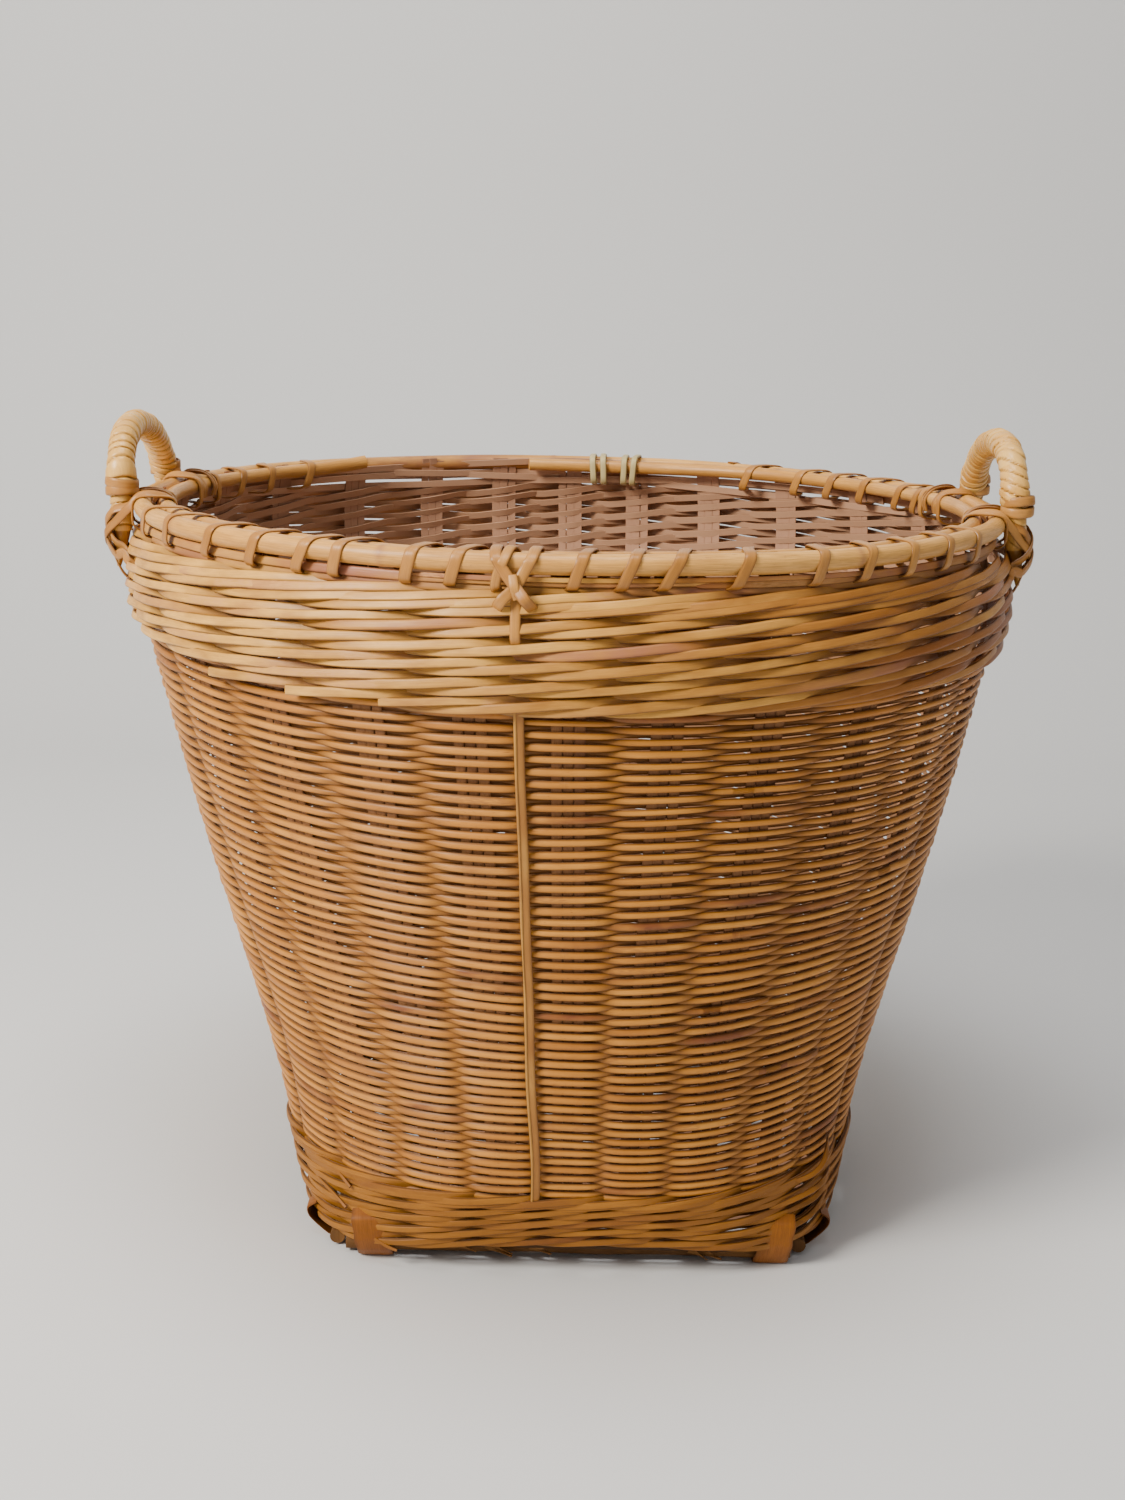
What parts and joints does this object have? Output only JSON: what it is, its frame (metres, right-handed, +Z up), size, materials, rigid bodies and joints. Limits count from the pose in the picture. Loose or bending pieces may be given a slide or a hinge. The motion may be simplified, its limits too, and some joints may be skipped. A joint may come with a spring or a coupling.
{
  "type": "woven basket",
  "caption": "Woven rattan basket with a square base, round rim and rigid bail handles, for laundry, logs or toys.",
  "frame": {"origin": "on the floor, under the middle of the basket's overall outline", "axes": "+Z up; +X towards the right-hand handle; -Y is the front, where the rim's crossed knot and a long rib are"},
  "size_m": [0.5408, 0.5258, 0.4794],
  "materials": {
    "stakes": "dry split cane, matt",
    "lower_band": "varnished split cane, satin",
    "side_weave": "varnished half-round cane, satin",
    "upper_band": "varnished flat cane, satin",
    "ribs": "split cane, satin",
    "rim_rods": "peeled rattan rod, satin",
    "lashing": "split cane, satin",
    "base_rods": "dark stained rod, matt",
    "straps": "wide split cane, satin",
    "handle_cores": "peeled rattan rod, satin",
    "handle_wraps": "close wound split cane, satin"
  },
  "bodies": {
    "root": {"base_rod_back": "base_rods", "base_rod_front": "base_rods", "base_rod_left": "base_rods", "base_rod_right": "base_rods", "handle_left_binding_front": "lashing", "handle_left_binding_rear": "lashing", "handle_left_core": "handle_cores", "handle_left_wrap": "handle_wraps", "handle_right_binding_front": "lashing", "handle_right_binding_rear": "lashing", "handle_right_core": "handle_cores", "handle_right_wrap": "handle_wraps", "knot_back": "lashing", "knot_front": "lashing", "lower_wale": "lower_band", "rib_back": "ribs", "rib_front": "ribs", "rib_left": "ribs", "rib_right": "ribs", "rim_inner_hoop": "rim_rods", "rim_lashing": "lashing", "rim_outer_hoop": "rim_rods", "rim_under_strip": "rim_rods", "side_weave": "side_weave", "splint_front_back_1": "stakes", "splint_front_back_2": "stakes", "splint_front_back_3": "stakes", "splint_front_back_4": "stakes", "splint_front_back_5": "stakes", "splint_front_back_6": "stakes", "splint_front_back_7": "stakes", "splint_left_right_1": "stakes", "splint_left_right_2": "stakes", "splint_left_right_3": "stakes", "splint_left_right_4": "stakes", "splint_left_right_5": "stakes", "splint_left_right_6": "stakes", "splint_left_right_7": "stakes", "strap_back_a": "straps", "strap_back_b": "straps", "strap_front_a": "straps", "strap_front_b": "straps", "strap_left_a": "straps", "strap_left_b": "straps", "strap_right_a": "straps", "strap_right_b": "straps", "upper_wale": "upper_band"}
  },
  "joints": []
}
